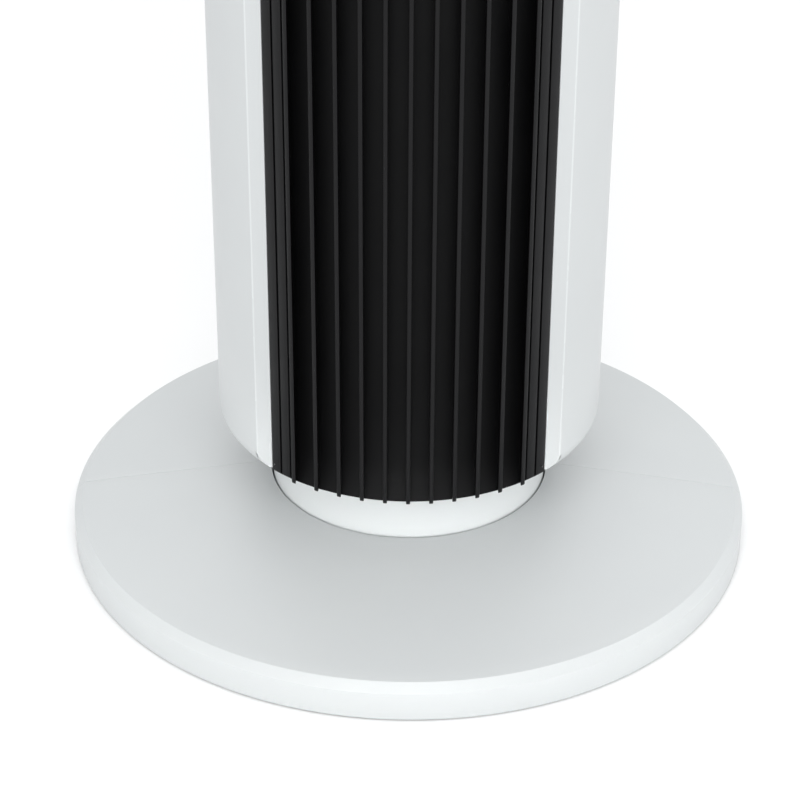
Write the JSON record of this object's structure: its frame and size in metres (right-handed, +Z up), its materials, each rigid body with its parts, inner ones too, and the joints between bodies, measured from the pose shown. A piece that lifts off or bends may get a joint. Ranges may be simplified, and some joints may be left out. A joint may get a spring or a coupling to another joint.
{
  "type": "tower fan",
  "caption": "Round white tower fan: black ribbed front grille, swinging tower on a wide round base, cross-flow wheel inside and push buttons on top.",
  "frame": {"origin": "on the ground under the centre of the round base", "axes": "+Z up along the tower, -Y is the way the air is blown (front), +X is the right-hand side seen from the front"},
  "size_m": [0.3, 0.3, 0.96],
  "materials": {
    "white_plastic": "satin",
    "black_plastic": "satin",
    "white_grille_plastic": "satin",
    "inner_plastic": "matte",
    "nylon": "matte",
    "rubber": "matte",
    "steel": "plated",
    "zinc_plate": "plated",
    "lamination": "varnished",
    "copper": "enamelled",
    "bronze": "sintered",
    "capacitor_case": "matte",
    "circuit_board": "matte",
    "smoked_lens": "polished"
  },
  "bodies": {
    "base": {"base_front_half": "white_plastic", "base_rear_half": "white_plastic", "rubber_feet": "rubber", "base_screws": "steel", "cord_inlet": "black_plastic", "pedestal": "white_plastic", "thrust_washer": "nylon", "ring_gear": "nylon", "gear_retainer": "steel", "retainer_screws": "steel"},
    "tower": {"bearing_seat": "rubber", "board_screws": "steel", "control_board": "circuit_board", "control_panel": "black_plastic", "display_lens": "smoked_lens", "floor_screws": "steel", "front_grille": "black_plastic", "front_housing": "white_plastic", "hand_grip": "white_plastic", "housing_screws": "steel", "intake_grille": "white_grille_plastic", "motor_bearings": "bronze", "motor_bushes": "rubber", "motor_deck": "inner_plastic", "motor_lower_shell": "zinc_plate", "motor_mount_nuts": "steel", "motor_mount_screws": "steel", "motor_upper_shell": "zinc_plate", "pivot_bush": "bronze", "power_board": "circuit_board", "rear_housing": "white_plastic", "remote_window": "smoked_lens", "run_capacitor": "capacitor_case", "scroll_wall": "inner_plastic", "stator": "lamination", "stator_windings": "copper", "swing_bracket": "steel", "swing_motor": "zinc_plate", "swing_motor_screws": "steel", "tongue_wall": "inner_plastic", "top_bearing": "bronze", "top_cap": "white_plastic", "top_deck": "inner_plastic", "tower_floor": "inner_plastic"},
    "pinion": {"drive_pinion": "nylon"},
    "wheel": {"rotor_core": "lamination", "motor_shaft": "steel", "impeller": "inner_plastic", "wheel_axle": "steel"},
    "key_power": {"button_power": "black_plastic"},
    "key_speed": {"button_speed": "black_plastic"},
    "key_mode": {"button_mode": "black_plastic"},
    "key_timer": {"button_timer": "black_plastic"},
    "key_swing": {"button_swing": "black_plastic"}
  },
  "joints": [
    {"name": "tower_swing", "type": "hinge", "parent": "base", "child": "tower", "pos_m": [0, 0, 0.068], "axis": [0, 0, 1], "range_deg": [-40, 40]},
    {"name": "pinion_spin", "type": "hinge", "parent": "tower", "child": "pinion", "pos_m": [0, 0.03875, 0.08], "axis": [0, 0, 1], "range_deg": [-140, 140]},
    {"name": "wheel_spin", "type": "hinge", "parent": "tower", "child": "wheel", "pos_m": [0, 0, 0.57], "axis": [0, 0, 1], "continuous": true},
    {"name": "press_power", "type": "slide", "parent": "tower", "child": "key_power", "axis": [0, 0, -1], "range_m": [0, 0.001], "stiffness_N_per_m": 500, "springref_m": -0.0006},
    {"name": "press_speed", "type": "slide", "parent": "tower", "child": "key_speed", "axis": [0, 0, -1], "range_m": [0, 0.001], "stiffness_N_per_m": 500, "springref_m": -0.0006},
    {"name": "press_mode", "type": "slide", "parent": "tower", "child": "key_mode", "axis": [0, 0, -1], "range_m": [0, 0.001], "stiffness_N_per_m": 500, "springref_m": -0.0006},
    {"name": "press_timer", "type": "slide", "parent": "tower", "child": "key_timer", "axis": [0, 0, -1], "range_m": [0, 0.001], "stiffness_N_per_m": 500, "springref_m": -0.0006},
    {"name": "press_swing", "type": "slide", "parent": "tower", "child": "key_swing", "axis": [0, 0, -1], "range_m": [0, 0.001], "stiffness_N_per_m": 500, "springref_m": -0.0006}
  ],
  "couplings": [
    {"joint": "pinion_spin", "follows": "tower_swing", "ratio": 3.4286}
  ]
}
